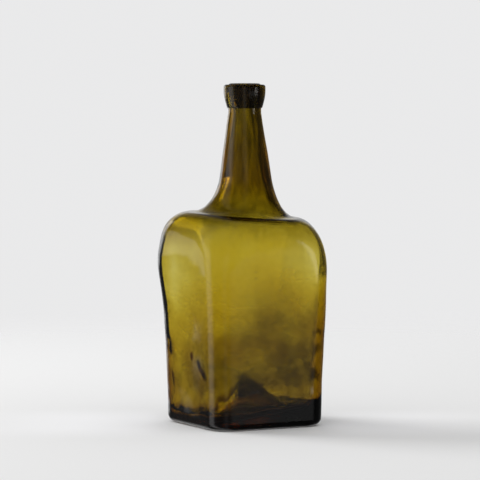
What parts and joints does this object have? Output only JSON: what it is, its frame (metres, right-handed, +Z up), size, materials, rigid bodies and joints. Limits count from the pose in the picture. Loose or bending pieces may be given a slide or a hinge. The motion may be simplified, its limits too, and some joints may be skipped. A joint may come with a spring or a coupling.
{
  "type": "square glass bottle",
  "caption": "Hand-blown square bottle of dark olive glass with rounded shoulders, a tall tapering neck and a laid-on rim; stands free and holds liquid.",
  "frame": {"origin": "centre of the base, on the plane that the bottle stands on", "axes": "+Z up along the bottle; the four flat sides face +X, -X, +Y and -Y"},
  "size_m": [0.1178, 0.1171, 0.29],
  "materials": {
    "olive_glass": "glossy, slightly rippled hand-blown glass",
    "rim_glass": "thick glossy glass, tooled by hand",
    "scar_glass": "broken, dull glass"
  },
  "bodies": {
    "root": {"bottle_body": "olive_glass", "string_rim": "rim_glass", "pontil_scar": "scar_glass"}
  },
  "joints": []
}
